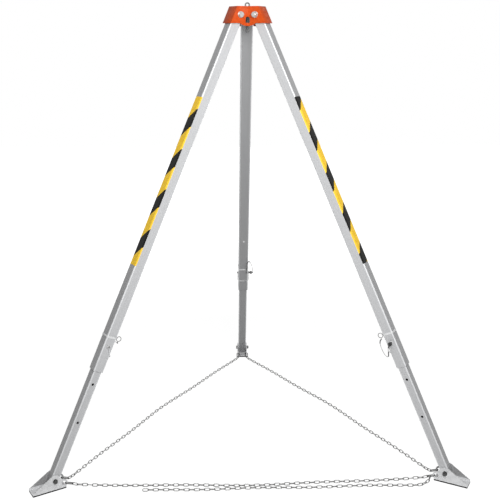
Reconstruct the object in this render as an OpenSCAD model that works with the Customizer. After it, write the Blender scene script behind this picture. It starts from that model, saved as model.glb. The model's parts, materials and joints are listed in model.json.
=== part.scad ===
// Rescue tripod: a cast head, three telescoping legs on hinged feet, lock pins and a floor chain.
// Origin at floor level in the middle of the footprint, +Z up, +Y towards the rear leg. Millimetres.

/* [Stance] */
// Angle of each leg from the vertical
splay = 25.75; // [18:0.25:30]
// Head pivot to ankle pivot along the leg
leg_reach = 2436; // [2300:1:2700]
// Head pivot's distance from the tripod's axis
pivot_r = 64; // [62:1:80]
// Ankle pivot's height above the floor
ankle_h = 52; // [52:1:60]

/* [Outer tube] */
// Width of the outer tube across the leg
outer_t = 60; // [54:1:70]
// Depth of the outer tube, towards the axis
outer_o = 52; // [46:1:56]
// Wall of the outer tube
outer_wall = 3.5; // [2.5:0.1:4.5]
// Corner radius of the outer tube
outer_corner = 7; // [5:0.5:9]
// Head pivot to the outer tube's lower end
outer_end = 1864; // [1700:1:1900]
// Tube above the head pivot
outer_above = 16; // [14:0.5:17]

/* [Inner tube] */
// Gap from inner tube to outer tube on each side
slide_gap = 1.5; // [1.2:0.1:2.5]
// Wall of the inner tube
inner_wall = 3.5; // [2.5:0.1:4.5]
// Corner radius of the inner tube
inner_corner = 5; // [3.5:0.5:7]
// Inner tube above the lock pin
inner_above = 150; // [120:1:260]
// Inner tube below the ankle pivot
inner_below = 28; // [24:0.5:30]
// Spacing of the height holes
hole_pitch = 200; // [150:1:220]
// Number of height holes
hole_count = 3; // [2:1:3]
// Radius of the drain hole above the ankle
drain_r = 4; // [2:0.5:6]
// Drain hole above the ankle pivot
drain_up = 57; // [50:1:80]

/* [Head] */
// Wall of the head beside each leg
flank_wall = 8; // [6:0.5:12]
// Head above the leg pivots
head_up = 39.5; // [36:0.5:42]
// Head below the leg pivots
head_down = 40; // [36:0.5:42]
// Top plate of the head
head_top = 7; // [5:0.5:7]
// Wall at the end of each arm, where the open leg rests
end_wall = 5; // [4:0.5:8]
// Drop of the rounded lobe below the arms
lobe_drop = 13.5; // [11:0.5:18]
// Radius of the lobe's lower edge
lobe_r = 73; // [65:1:90]
// Half width of the anchor slot
slot_r = 10; // [7:0.5:12]
// Straight height of the anchor slot
slot_h = 19; // [12:0.5:20]
// Anchor slot's floor above the lobe's lowest point
slot_floor = 15; // [11:0.5:18]

/* [Head fasteners] */
// Radius of a leg pivot bolt
bolt_r = 8; // [6:0.5:9]
// Half width of a pivot bolt's hexagon across its corners
bolt_hex = 13.8; // [12:0.1:15]
// Height of a pivot bolt's head
bolt_head = 10; // [7:0.5:12]
// Height of a pivot nut
nut_h = 13; // [10:0.5:16]
// Thread beyond a pivot nut
thread_end = 4; // [2:0.5:6]
// Radius of a pivot washer
washer_r = 15; // [15:0.5:17]
// Thickness of a pivot washer
washer_h = 3; // [2:0.5:4]
// Flange of a leg's nylon pivot bush
bush_flange = 1.5; // [1:0.1:2.5]

/* [Anchor eyes] */
// Radius of the anchor bolt's shank
anchor_r = 6; // [5:0.5:8]
// Inside radius of the lower eye
eye_in = 5; // [5:0.5:8]
// Band of the lower eye
eye_band = 5; // [5:0.5:8]
// Inside radius of the upper eye
top_in = 6.5; // [6:0.5:8]
// Band of the upper eye
top_band = 6.5; // [6:0.5:8]
// Thickness of both eyes
eye_w = 10; // [9:0.5:12]
// Lower eye's centre below the leg pivots
eye_drop = 75; // [74:1:90]
// Radius of the boss that carries the anchor bolt
hub_r = 17; // [16:0.5:18]
// Depth of that boss below the top plate
hub_h = 12; // [8:0.5:14]

/* [Lock pin] */
// Pin above the outer tube's lower end
pin_up = 132; // [110:1:140]
// Radius of the lock pin
pin_r = 6; // [5:0.5:7]
// Travel of the lock pin
pin_travel = 10; // [8:0.5:11]
// Length of the pin's head
pin_head = 9; // [6:0.5:12]
// Radius of the pin's head
pin_head_r = 10; // [8.5:0.5:11]
// Length of the stub that holds the lanyard
pin_stub = 8; // [7:0.5:9]
// Flange of the pin's guide bush
guide_flange = 1.2; // [0.8:0.1:1.4]
// Wire of the pin's bail
bail_wire = 4; // [3:0.5:4]
// Pin axis to the bail's cross wire
bail_reach = 55; // [55:1:62]
// Radius of the stud that carries the bail's far eye
stud_r = 4; // [3:0.5:5]

/* [Strap and lanyard] */
// Height of the strap
strap_h = 9; // [6:0.5:12]
// Thickness of the strap
strap_wall = 1.4; // [1:0.1:1.4]
// Centreline radius of the strap's ring
ring_r = 12; // [11:0.5:12]
// Wire of the strap's ring
ring_wire = 3; // [2.5:0.25:3]
// Diameter of the lanyard
lanyard_d = 2.5; // [2:0.25:3]
// Diameter of the lanyard's crimped ferrules
ferrule_d = 5.2; // [4:0.2:6]
// Length of each ferrule
ferrule_l = 14; // [10:1:18]
// Bracket screw below the leg pivot
screw_s = 1453; // [1200:1:1500]

/* [Foot] */
// Thickness of the foot bracket
foot_plate = 4; // [3:0.5:5]
// Thickness of the rubber sole
sole_h = 7; // [5:0.5:8]
// Sole behind the ankle pivot
heel_x = 53; // [48:1:58]
// Sole in front of the ankle pivot
toe_x = 113; // [100:1:140]
// Height of the bracket's toe above the sole
toe_h = 9; // [6:0.5:16]
// Radius of the bracket round the ankle bolt
ankle_boss = 31; // [27:1:33]
// Heel ear's centre behind the ankle pivot
ear_x = 42; // [40:1:44]
// Heel ear's centre above the floor
ear_z = 31; // [31:1:34]
// Radius of the heel ear
ear_r = 19; // [18:0.5:20]
// Radius of the chain hole in the ear
ear_hole = 11; // [10.5:0.25:11.5]
// Radius of the ankle bolt
ankle_r = 6; // [5:0.5:8]
// Half width of the ankle bolt's hexagon across its corners
ankle_hex = 10.4; // [9:0.1:12]
// Flange of the ankle bush
ankle_flange = 2; // [1.5:0.1:3]

/* [Chain] */
// Wire of the chain
link_d = 4; // [3:0.25:4]
// Inside length of a link
link_pitch = 25.5; // [25:0.5:28]
// Inside width of a link
link_in = 8; // [7.5:0.25:9]
// Wire of the heel links
heel_d = 5; // [4:0.25:5]
// Inside length of the heel links
heel_len = 36; // [34:0.5:40]
// Inside width of the heel links
heel_in = 10; // [9.5:0.25:11]
// Downward tilt of the heel links
heel_tilt = 22; // [18:1:24]
// Outward bow of a chain run at its middle
chain_bow = 34; // [0:1:60]
// Loose waves of a chain run
chain_wave = 6; // [0:0.5:8]
// Number of links in the loose tail
tail_links = 58; // [10:2:60]

/* [Fits] */
// Radial running clearance of pins and bolts
run_fit = 0.08; // [0.05:0.01:0.1]
// Clearance between faces that only just miss
near_gap = 0.4; // [0.3:0.05:0.5]
// Clearance of pressed-in pieces
press_gap = 0.05; // [0.02:0.01:0.1]
// Play between chain links
link_gap = 0.5; // [0.3:0.1:0.8]

/* [Hidden] */
LEGS = [["rear", 90, -1], ["left", 210, 1], ["right", 330, -1]];
RUNS = [["chain_left", 90], ["chain_front", 210], ["chain_right", 330]];
LEG_PIECES = [
    "outer_tube", "pivot_bushes", "guide_liner", "strap_band", "band_ring", "pin_guide", "bracket_screw",
    "lanyard", "lock_pin", "pin_bail", "inner_tube", "inner_glide", "ankle_bushes", "foot_bracket",
    "foot_sole", "ankle_bolt", "heel_links"
];
HEAD_PIECES = [
    "head_casting", "anchor_eye_bolt", "top_eye_nut", "leg_pivot_bolts", "leg_pivot_nuts",
    "chain_left", "chain_front", "chain_right", "chain_tail"
];
$fn = 48;

// Stance
pivot_h = ankle_h + leg_reach * cos(splay);
ankle_x = pivot_r + leg_reach * sin(splay);
pin_s = outer_end - pin_up;
// Tubes
inner_t = outer_t - 2 * (outer_wall + slide_gap);
inner_o = outer_o - 2 * (outer_wall + slide_gap);
inner_top = pin_s - inner_above;
inner_end = leg_reach + inner_below;
glide_h = 20;
glide_spigot = 25;
liner_len = 70;
bore_over = 1;
// Head
slot_half = outer_t / 2 + bush_flange + near_gap;
flank = slot_half + flank_wall;
end_in = outer_o / 2 + near_gap;
swing_r = (outer_o / 2 + end_in) / 2;
end_out = end_in + end_wall;
arm_z0 = pivot_h - head_down;
arm_z1 = pivot_h + head_up;
lobe_z = arm_z0 - lobe_drop + lobe_r;
slot_z = arm_z0 - lobe_drop + slot_floor;
bush_r = bolt_r + 2;
bush_flange_r = bolt_r + 7;
// Anchor eyes
eye_round = 2;
collar_r = anchor_r + 6;
collar_h = 4;
top_base_h = 4;
top_pocket_h = 6;
top_pocket_r = top_in + top_band + 1.5;
top_seat = arm_z1 - top_pocket_h;
top_base_r = collar_r;
// Lock pin, measured along the leg's cross axis from the tube's centre
wall_in = outer_t / 2 - outer_wall;
guide_r = pin_r + 2;
guide_flange_r = pin_r + 4;
bail_y = outer_t / 2 + guide_flange + near_gap + bail_wire / 2;
pin_tip = wall_in + 0.2;
pin_seat = bail_y + bail_wire / 2 + near_gap + pin_travel;
pin_back = pin_seat + pin_head;
stub_r = 3.5;
bail_elbow = 10;
bail_rest = asin((outer_o / 2 + bail_wire / 2 + near_gap) / bail_reach);
stud_end = bail_y + bail_wire / 2 + near_gap;
stud_head_r = stud_r + 3;
stud_head_h = 4;
// Strap
strap_up = 48;
strap_gap = 0.1;
lug_x = outer_o / 2 + strap_gap + strap_wall;
lug_len = 9;
lug_w = 10;
lug_h = 2.5;
lug_hole = ring_wire / 2 + 0.9;
lug_off = 20;
ring_x = lug_x + 3.6;
screw_r = 4;
screw_head_r = 7;
screw_head_h = 4;
// Lanyard route: out of the leg, across it and up it, from the pin's axis at the tube's centre
rear_route = [
    [-43, -20, 62], [-43, -20, 80], [-43, -21, 100], [-43, -24, 118], [-42, -31, 128],
    [-41, -39, 126], [-39, -45, 114], [-36, -51, 96], [-32, -55, 76], [-27, -58, 56],
    [-21, -60, 36], [-15, -60, 20], [-9, -60, 9], [-4, -60, 2]
];
left_route = [
    [-43, 20, 32.9], [-46, 17, 28], [-50, 10, 25], [-53, 0, 24], [-55, -12, 23], [-56, -24, 22],
    [-56, -34, 18], [-55, -42, 8], [-52, -49, -8], [-48, -55, -26], [-42, -59, -44], [-34, -61, -55],
    [-26, -61.5, -52], [-20, -61, -37], [-15, -60, -20], [-9, -60, -9], [-4, -60, -2]
];
right_route = [
    [-43, -20, 32], [-46, -24, 29], [-50, -31, 25], [-52, -39, 17], [-52, -45, 3], [-50, -51, -14],
    [-46, -56, -32], [-40, -59, -47], [-33, -61, -55], [-26, -61.5, -52], [-20, -61, -37],
    [-15, -60, -20], [-9, -60, -9], [-4, -60, -2]
];
lanyard_steps = 2;
lanyard_sides = 8;
// Foot
foot_in = inner_t / 2 + ankle_flange + near_gap / 2;
foot_half = foot_in + foot_plate;
ankle_bush_r = ankle_r + 3;
ankle_flange_r = ankle_r + 8;
ankle_washer_h = 2;
ankle_washer_r = ankle_r + 6;
ankle_head_h = 7.5;
ankle_nut_h = 10;
ankle_thread = 2;
groove_w = 7;
groove_h = 2.5;
groove_count = 6;
groove_in = 6;
// The tripod's axis lies behind the middle of the footprint
axis_y = -((ankle_x + toe_x) / 2 - foot_half * cos(30)) / 2;
// Chain: a run spans two feet, 60 degrees each side of its own outward axis
link_half = (link_in + link_d) / 2;
floor_gap = 0.3;
ear_y = (foot_in + foot_half) / 2;
ear_at = [ankle_x - ear_x, ear_y];
heel_first = ear_hole - near_gap;
hook_play = 0.6;
heel_hook = heel_first + heel_len - link_gap / 2 - hook_play;
hook_in = heel_hook * cos(heel_tilt);
hook_z = ear_z - heel_hook * sin(heel_tilt);
hook_x = (ear_at[0] - hook_in) * cos(60) + ear_y * sin(60);
hook_y = (ear_at[0] - hook_in) * sin(60) - ear_y * cos(60);
run_links = 2 * ceil((2 * hook_y / (link_pitch - link_gap) - 1) / 2) + 1;
chain_waves = 2.5;
roll_links = 4;
turn_links = 4;
tail_step = link_pitch - link_gap;
tail_side = [sin(60), -cos(60)];
tail_hook = 31;
tail_lift = 0.5;
tail_mid = 3;
tail_wave = 7;
tail_wave_links = 21;

// Placing
module at_axis() {
    translate([0, axis_y, 0]) children();
}
module at_leg(az) {
    rotate([0, 0, az]) translate([pivot_r, 0, pivot_h]) rotate([0, -splay, 0]) children();
}
module at_foot(az) {
    rotate([0, 0, az]) translate([ankle_x, 0, 0]) children();
}
// Turns a shape that stands on +Z so that it points along +Y
module along_y() {
    rotate([-90, 0, 0]) children();
}
module mirror_y() {
    children();
    mirror([0, 1, 0]) children();
}

// Shared shapes
module round_rect(x, y, r) {
    square([x - 2 * r, y], center = true);
    square([x, y - 2 * r], center = true);
    for (sx = [-1, 1]) for (sy = [-1, 1]) translate([sx * (x / 2 - r), sy * (y / 2 - r)]) circle(r);
}
module rect_tube(x, y, corner, wall, len) {
    linear_extrude(len) difference() {
        round_rect(x, y, corner);
        round_rect(x - 2 * wall, y - 2 * wall, max(corner - wall, 1));
    }
}
module hexagon(r, h) {
    cylinder(r = r, h = h, $fn = 6);
}
module pipe(r_out, r_in, h) {
    difference() {
        cylinder(r = r_out, h = h);
        translate([0, 0, -bore_over]) cylinder(r = r_in, h = h + 2 * bore_over);
    }
}
module flanged_bush(r_flange, flange, r_barrel, barrel, r_bore) {
    difference() {
        union() {
            cylinder(r = r_flange, h = flange);
            translate([0, 0, -barrel]) cylinder(r = r_barrel, h = barrel + flange / 2);
        }
        translate([0, 0, -barrel - bore_over]) cylinder(r = r_bore, h = barrel + flange + 2 * bore_over);
    }
}
module torus(r, wire) {
    rotate_extrude() translate([r, 0]) circle(wire / 2);
}
// A forged eye round the Y axis, with a straight bore and rounded rims
module eye(r_in, band, w) {
    along_y() rotate_extrude() translate([r_in + band / 2, 0]) round_rect(band, w, eye_round);
}
// An oval link from p to q, its flat turned by roll about that line; inside length is the distance plus play
module link(p, q, roll, d, w_in, play) {
    v = q - p;
    len = norm(v);
    half = round(500 * (len + play - w_in)) / 1000;
    bend = (w_in + d) / 2;
    yaw = atan2(v[1], v[0]);
    dip = -asin(v[2] / len);
    translate((p + q) / 2) rotate([0, 0, yaw]) rotate([0, dip, 0]) rotate([roll, 0, 0]) {
        for (s = [-1, 1]) {
            translate([-half, s * bend, 0]) rotate([0, 90, 0]) cylinder(d = d, h = 2 * half);
            translate([s * half, 0, 0]) rotate([0, 0, -90 * s]) rotate_extrude(angle = 180)
                translate([bend, 0]) circle(d = d);
        }
    }
}

// Head
function end_x(off, z) = pivot_r + (off - (z - pivot_h) * sin(splay)) / cos(splay);
module arm_prism(half, off, z0, z1) {
    rotate([90, 0, 0]) linear_extrude(2 * half, center = true)
        polygon([[0, z0], [end_x(off, z0), z0], [end_x(off, z1), z1], [0, z1]]);
}
module lobe_walls() {
    inner_x = slot_half / tan(60);
    crease_x = flank / tan(60);
    mirror_y() intersection() {
        translate([inner_x, slot_half, arm_z0 - lobe_drop])
            cube([lobe_r, flank_wall, lobe_drop + head_top]);
        translate([crease_x, 0, lobe_z]) along_y() cylinder(r = lobe_r, h = flank + bore_over, $fn = 96);
    }
}
module anchor_slot() {
    translate([0, 0, slot_z + slot_h]) rotate([0, 90, 0]) cylinder(r = slot_r, h = 2 * flank);
    translate([0, -slot_r, slot_z]) cube([2 * flank, 2 * slot_r, slot_h]);
}
module head_casting() {
    color("orangered") difference() {
        union() {
            difference() {
                for (leg = LEGS) rotate([0, 0, leg[1]]) {
                    arm_prism(flank, end_out, arm_z0, arm_z1);
                    lobe_walls();
                }
                for (leg = LEGS) rotate([0, 0, leg[1]])
                    arm_prism(slot_half, end_in, arm_z0 - lobe_drop - bore_over, arm_z1 - head_top);
            }
            translate([0, 0, arm_z1 - head_top - hub_h]) cylinder(r = hub_r, h = hub_h + head_top / 2);
        }
        for (leg = LEGS) rotate([0, 0, leg[1]]) {
            translate([pivot_r, -2 * flank, pivot_h]) along_y() cylinder(r = bolt_r + 0.2, h = 4 * flank);
            rotate([0, 0, 60]) translate([slot_half / 2, 0, 0]) anchor_slot();
        }
        translate([0, 0, arm_z1 - 2 * (head_top + hub_h)])
            cylinder(r = anchor_r + press_gap, h = 3 * (head_top + hub_h));
        translate([0, 0, top_seat]) cylinder(r = top_pocket_r, h = 2 * top_pocket_h);
    }
}
module leg_pivot_bolts() {
    shank = 2 * (flank + washer_h) + nut_h + thread_end;
    color("silver") for (leg = LEGS) rotate([0, 0, leg[1]])
        translate([pivot_r, flank + washer_h, pivot_h]) {
            along_y() hexagon(bolt_hex, bolt_head);
            translate([0, -shank, 0]) along_y() cylinder(r = bolt_r, h = shank + bolt_head / 2);
        }
}
module leg_pivot_nuts() {
    color("silver") for (leg = LEGS) rotate([0, 0, leg[1]]) translate([pivot_r, 0, pivot_h]) {
        mirror_y() translate([0, flank, 0]) along_y() pipe(washer_r, bolt_r + press_gap, washer_h);
        translate([0, -flank - washer_h - nut_h, 0]) along_y() difference() {
            hexagon(bolt_hex, nut_h);
            translate([0, 0, -bore_over]) cylinder(r = bolt_r + press_gap, h = nut_h + 2 * bore_over);
        }
    }
}
module anchor_eye_bolt() {
    eye_z = pivot_h - eye_drop;
    shank_z = eye_z + eye_in + eye_band / 2;
    collar_z = arm_z1 - head_top - hub_h - collar_h;
    color("silver") {
        translate([0, 0, eye_z]) eye(eye_in, eye_band, eye_w);
        translate([0, 0, shank_z]) cylinder(r = anchor_r, h = top_seat + top_base_h - near_gap - shank_z);
        translate([0, 0, collar_z]) cylinder(r = collar_r, h = collar_h);
    }
}
module top_eye_nut() {
    color("silver") difference() {
        union() {
            translate([0, 0, top_seat]) cylinder(r = top_base_r, h = top_base_h);
            translate([0, 0, top_seat + top_in + top_band]) eye(top_in, top_band, eye_w);
        }
        translate([0, 0, top_seat - bore_over])
            cylinder(r = anchor_r + press_gap, h = top_base_h + bore_over);
    }
}

// Legs, drawn with the head pivot at the origin and the leg running down -Z
module outer_tube() {
    color("gainsboro") difference() {
        intersection() {
            translate([0, 0, -outer_end])
                rect_tube(outer_o, outer_t, outer_corner, outer_wall, outer_end + outer_above);
            union() {
                translate([-outer_o, -outer_t, -2 * outer_end])
                    cube([2 * outer_o, 2 * outer_t, 2 * outer_end]);
                translate([0, -outer_t, 0]) along_y() cylinder(r = swing_r, h = 2 * outer_t);
            }
        }
        translate([0, -outer_t, 0]) along_y() cylinder(r = bush_r + press_gap, h = 2 * outer_t);
        translate([0, -outer_t, -pin_s]) along_y() cylinder(r = guide_r + press_gap, h = outer_t);
        translate([0, 0, -pin_s]) along_y() cylinder(r = stud_r + press_gap, h = outer_t);
        translate([-outer_o, 0, -screw_s]) rotate([0, 90, 0]) cylinder(r = screw_r + press_gap, h = outer_o);
    }
}
module pivot_bushes() {
    color("black") mirror_y() translate([0, outer_t / 2, 0]) along_y()
        flanged_bush(bush_flange_r, bush_flange, bush_r, outer_wall, bolt_r + run_fit);
}
module guide_liner() {
    outer_gap = 0.1;
    wall = slide_gap - 0.3;
    color("dimgray") translate([0, 0, -outer_end])
        rect_tube(outer_o - 2 * (outer_wall + outer_gap), outer_t - 2 * (outer_wall + outer_gap),
            max(outer_corner - outer_wall, 1), wall, liner_len);
}
module strap_band(side) {
    lug_y = side * lug_off;
    color("whitesmoke") translate([0, 0, strap_up - pin_s]) {
        translate([0, 0, -strap_h / 2])
            rect_tube(outer_o + 2 * (strap_gap + strap_wall), outer_t + 2 * (strap_gap + strap_wall),
                outer_corner + strap_gap + strap_wall, strap_wall, strap_h);
        difference() {
            translate([-lug_x - lug_len, lug_y - lug_w / 2, -lug_h / 2])
                cube([lug_len + strap_wall / 2, lug_w, lug_h]);
            translate([-ring_x, lug_y, -lug_h]) cylinder(r = lug_hole, h = 2 * lug_h);
        }
    }
}
module band_ring(side) {
    lug_y = side * lug_off;
    color("silver") translate([-ring_x - ring_r, lug_y, strap_up - pin_s]) along_y() torus(ring_r, ring_wire);
}
module pin_guide() {
    color("silver") translate([0, 0, -pin_s]) {
        translate([0, -outer_t / 2, 0]) rotate([90, 0, 0])
            flanged_bush(guide_flange_r, guide_flange, guide_r, outer_wall, pin_r + run_fit);
        translate([0, wall_in, 0]) along_y() rotate_extrude() {
            square([stud_r, stud_end - wall_in]);
            translate([0, stud_end - wall_in]) intersection() {
                square([stud_head_r, stud_head_h]);
                translate([0, stud_head_h - stud_head_r]) circle(stud_head_r);
            }
        }
    }
}
module lock_pin() {
    color("dimgray") translate([0, 0, -pin_s]) rotate([90, 0, 0]) rotate_extrude() polygon([
        [0, pin_tip], [pin_r - 1, pin_tip], [pin_r, pin_tip + 1], [pin_r, pin_seat],
        [pin_head_r, pin_seat], [pin_head_r, pin_back - 1], [pin_head_r - 1, pin_back],
        [stub_r, pin_back], [stub_r, pin_back + pin_stub], [0, pin_back + pin_stub]
    ]);
}
module pin_bail() {
    near_eye = pin_r + bail_wire / 2 + 0.2;
    far_eye = stud_r + bail_wire / 2 + 0.2;
    leg_z = bail_elbow - bail_reach;
    color("silver") translate([0, 0, -pin_s]) rotate([0, bail_rest, 0]) {
        for (side = [[-1, near_eye], [1, far_eye]]) {
            translate([0, side[0] * bail_y, 0]) {
                along_y() torus(side[1], bail_wire);
                translate([0, 0, leg_z]) cylinder(d = bail_wire, h = -leg_z - side[1]);
            }
            translate([0, side[0] * (bail_y - bail_elbow), leg_z]) rotate([0, -90, 0])
                rotate([0, 0, side[0] > 0 ? 90 : 180]) rotate_extrude(angle = 90)
                    translate([bail_elbow, 0]) circle(d = bail_wire);
        }
        translate([0, bail_elbow - bail_y, -bail_reach]) along_y()
            cylinder(d = bail_wire, h = 2 * (bail_y - bail_elbow));
    }
}
module bracket_screw() {
    color("silver") translate([-outer_o / 2, 0, -screw_s]) rotate([0, -90, 0]) {
        translate([0, 0, -outer_wall]) cylinder(r = screw_r, h = outer_wall + screw_head_h / 2);
        cylinder(r1 = screw_head_r, r2 = screw_head_r - 2, h = screw_head_h);
    }
}
module inner_tube() {
    color("lightgray") difference() {
        translate([0, 0, -inner_end])
            rect_tube(inner_o, inner_t, inner_corner, inner_wall, inner_end - inner_top);
        for (k = [0 : hole_count - 1]) translate([0, -inner_t, -pin_s - k * hole_pitch]) along_y()
            cylinder(r = pin_r + 0.6, h = 2 * inner_t);
        translate([0, -inner_t, -leg_reach]) along_y()
            cylinder(r = ankle_bush_r + press_gap, h = 2 * inner_t);
        translate([-inner_o, 0, drain_up - leg_reach]) rotate([0, 90, 0]) cylinder(r = drain_r, h = inner_o);
    }
}
module inner_glide() {
    play = 0.2;
    head_o = outer_o - 2 * (outer_wall + play);
    head_t = outer_t - 2 * (outer_wall + play);
    color("black") translate([0, 0, -inner_top]) {
        linear_extrude(glide_h) round_rect(head_o, head_t, max(outer_corner - outer_wall, 1));
        translate([0, 0, -glide_spigot]) linear_extrude(glide_spigot + glide_h / 2)
            round_rect(inner_o - 2 * (inner_wall + play), inner_t - 2 * (inner_wall + play), 1);
    }
}
module ankle_bushes() {
    color("black") translate([0, 0, -leg_reach]) mirror_y() translate([0, inner_t / 2, 0]) along_y()
        flanged_bush(ankle_flange_r, ankle_flange, ankle_bush_r, inner_wall, ankle_r + run_fit);
}

// The lanyard's tube: rings of points along a smooth curve through its route
function curve(a, b, c, d, u) =
    0.5 * (2 * b + (c - a) * u + (2 * a - 5 * b + 4 * c - d) * u * u + (3 * b - a - 3 * c + d) * u * u * u);
function unit(v) = v / norm(v);
function smooth(route, steps) = let (last = len(route) - 1) [
    for (i = [0 : last - 1]) for (k = [0 : steps - 1])
        curve(route[max(i - 1, 0)], route[i], route[i + 1], route[min(i + 2, last)], k / steps),
    route[last]
];
function run_to(line, i) = i == 0 ? 0 : run_to(line, i - 1) + norm(line[i] - line[i - 1]);
module lanyard(az) {
    line = smooth(az == LEGS[0][1] ? rear_route : az == LEGS[1][1] ? left_route : right_route, lanyard_steps);
    last = len(line) - 1;
    long = run_to(line, last);
    sides = lanyard_sides;
    rings = [for (i = [0 : last]) let (
        way = unit(line[min(i + 1, last)] - line[max(i - 1, 0)]),
        across = unit(cross(way, [1, 0.9, -0.3])),
        over = cross(way, across),
        at = run_to(line, i),
        r = (at < ferrule_l || at > long - ferrule_l ? ferrule_d : lanyard_d) / 2
    ) for (k = [0 : sides - 1]) line[i] + r * (across * cos(360 * k / sides) + over * sin(360 * k / sides))];
    faces = [
        [for (k = [0 : sides - 1]) k],
        [for (k = [0 : sides - 1]) last * sides + sides - 1 - k],
        for (i = [0 : last - 1]) for (k = [0 : sides - 1]) for (half = [0, 1]) let (
            a = i * sides + k, b = i * sides + (k + 1) % sides
        ) half == 0 ? [a, a + sides, b] : [b, a + sides, b + sides]
    ];
    color("dimgray") translate([0, 0, -pin_s]) polyhedron(rings, faces);
}

// Feet, drawn with the ankle above the origin and the toe along +X
module foot_outline() {
    toe = [toe_x, sole_h + toe_h];
    reach = norm(toe - [0, ankle_h]);
    lean = atan2(toe[1] - ankle_h, toe[0]) + acos(ankle_boss / reach);
    difference() {
        union() {
            translate([0, ankle_h]) circle(ankle_boss);
            translate([-ear_x, ear_z]) circle(ear_r);
            polygon([
                [-heel_x, sole_h], [toe_x, sole_h], toe,
                [ankle_boss * cos(lean), ankle_h + ankle_boss * sin(lean)],
                [0, ankle_h], [-ankle_boss * 0.7, ankle_h + ankle_boss * 0.35],
                [-ear_x, ear_z + ear_r], [-ear_x, ear_z], [-heel_x, ear_z]
            ]);
        }
        translate([-ear_x, ear_z]) circle(ear_hole);
        translate([0, ankle_h]) circle(ankle_r + press_gap);
    }
}
module foot_bracket() {
    color("silver") {
        mirror_y() translate([0, foot_half, 0]) rotate([90, 0, 0]) linear_extrude(foot_plate) foot_outline();
        translate([-heel_x, -foot_in - foot_plate / 2, sole_h])
            cube([heel_x + toe_x, 2 * foot_in + foot_plate, foot_plate]);
    }
}
module foot_sole() {
    long = heel_x + toe_x;
    first = -heel_x - groove_w / 2;
    color("black") difference() {
        translate([-heel_x, -foot_half, 0]) cube([long, 2 * foot_half, sole_h]);
        for (k = [1 : groove_count])
            translate([first + k * long / (groove_count + 1), groove_in - foot_half, -bore_over])
                cube([groove_w, 2 * (foot_half - groove_in), groove_h + bore_over]);
    }
}
module ankle_bolt() {
    seat = foot_half + ankle_washer_h;
    shank = 2 * seat + ankle_nut_h + ankle_thread;
    color("silver") translate([0, 0, ankle_h]) {
        translate([0, seat, 0]) {
            along_y() hexagon(ankle_hex, ankle_head_h);
            translate([0, -shank, 0]) along_y() cylinder(r = ankle_r, h = shank + ankle_head_h / 2);
        }
        mirror_y() translate([0, foot_half, 0]) along_y()
            pipe(ankle_washer_r, ankle_r + press_gap, ankle_washer_h);
        translate([0, -seat - ankle_nut_h, 0]) along_y() difference() {
            hexagon(ankle_hex, ankle_nut_h);
            translate([0, 0, -bore_over]) cylinder(r = ankle_r + press_gap, h = ankle_nut_h + 2 * bore_over);
        }
    }
}
module heel_links() {
    way = [-cos(heel_tilt), 0, -sin(heel_tilt)];
    color("silver") for (s = [-1, 1]) {
        hole = [-ear_x, s * ear_y, ear_z];
        link(hole + heel_first * way, hole + (heel_first + heel_len) * way, 0, heel_d, heel_in, 0);
    }
}

// Chain runs, drawn with the run along +Y and the tripod's outside along +X
function run_edge(i) = min(i, run_links - 1 - i);
function run_roll(i) = (i % 2 == 0 ? 90 : 0) - 45 * min(1, run_edge(i) / roll_links);
function link_need(roll) = link_d / 2 + link_half * abs(sin(roll));
function run_joint(i) = let (q = i / run_links, swell = sin(180 * q)) [
    hook_x + chain_bow * swell + chain_wave * swell * sin(360 * chain_waves * q),
    hook_y * (2 * q - 1),
    i == 0 || i == run_links ? hook_z : floor_gap + max(link_need(run_roll(i - 1)), link_need(run_roll(i)))
];
module chain_run() {
    color("darkgray") for (i = [0 : run_links - 1])
        link(run_joint(i), run_joint(i + 1), run_roll(i), link_d, link_in, link_gap);
}
// The loose tail hooks into a heel link, turns alongside the run and lies in front of it
function tail_roll(i) = (i % 2 == 0 ? 90 : 0) - 45 * min(1, i / roll_links);
function tail_flat(i) = i == 0
    ? [hook_x, hook_y] + (heel_hook - tail_hook) * cos(heel_tilt) * [cos(60), sin(60)]
        + (heel_in / 2 - link_gap / 2 - hook_play) * tail_side
    : let (turn = 60 * max(0, 1 - (i - 1) / turn_links))
        tail_flat(i - 1) + tail_step * [sin(turn), -cos(turn)];
function tail_sway(i) = i <= turn_links
    ? 0
    : tail_wave * (cos(360 * (i - turn_links) / tail_wave_links) - 1) / 2;
function tail_joint(i) = [
    tail_flat(i)[0] + tail_sway(i),
    tail_flat(i)[1],
    i == 0
        ? ear_z - tail_hook * sin(heel_tilt) + tail_lift
        : floor_gap + max(link_need(tail_roll(i - 1)), link_need(tail_roll(i))) + (i == 1 ? tail_mid : 0)
];
module chain_tail() {
    color("darkgray") for (i = [0 : tail_links - 1])
        link(tail_joint(i), tail_joint(i + 1), tail_roll(i), link_d, link_in, link_gap);
}

module leg_piece(piece, az, side) {
    if (piece == "outer_tube") outer_tube();
    if (piece == "pivot_bushes") pivot_bushes();
    if (piece == "guide_liner") guide_liner();
    if (piece == "strap_band") strap_band(side);
    if (piece == "band_ring") band_ring(side);
    if (piece == "pin_guide") pin_guide();
    if (piece == "bracket_screw") bracket_screw();
    if (piece == "lanyard") lanyard(az);
    if (piece == "lock_pin") lock_pin();
    if (piece == "pin_bail") pin_bail();
    if (piece == "inner_tube") inner_tube();
    if (piece == "inner_glide") inner_glide();
    if (piece == "ankle_bushes") ankle_bushes();
}
module foot_piece(piece) {
    if (piece == "foot_bracket") foot_bracket();
    if (piece == "foot_sole") foot_sole();
    if (piece == "ankle_bolt") ankle_bolt();
    if (piece == "heel_links") heel_links();
}

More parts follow.
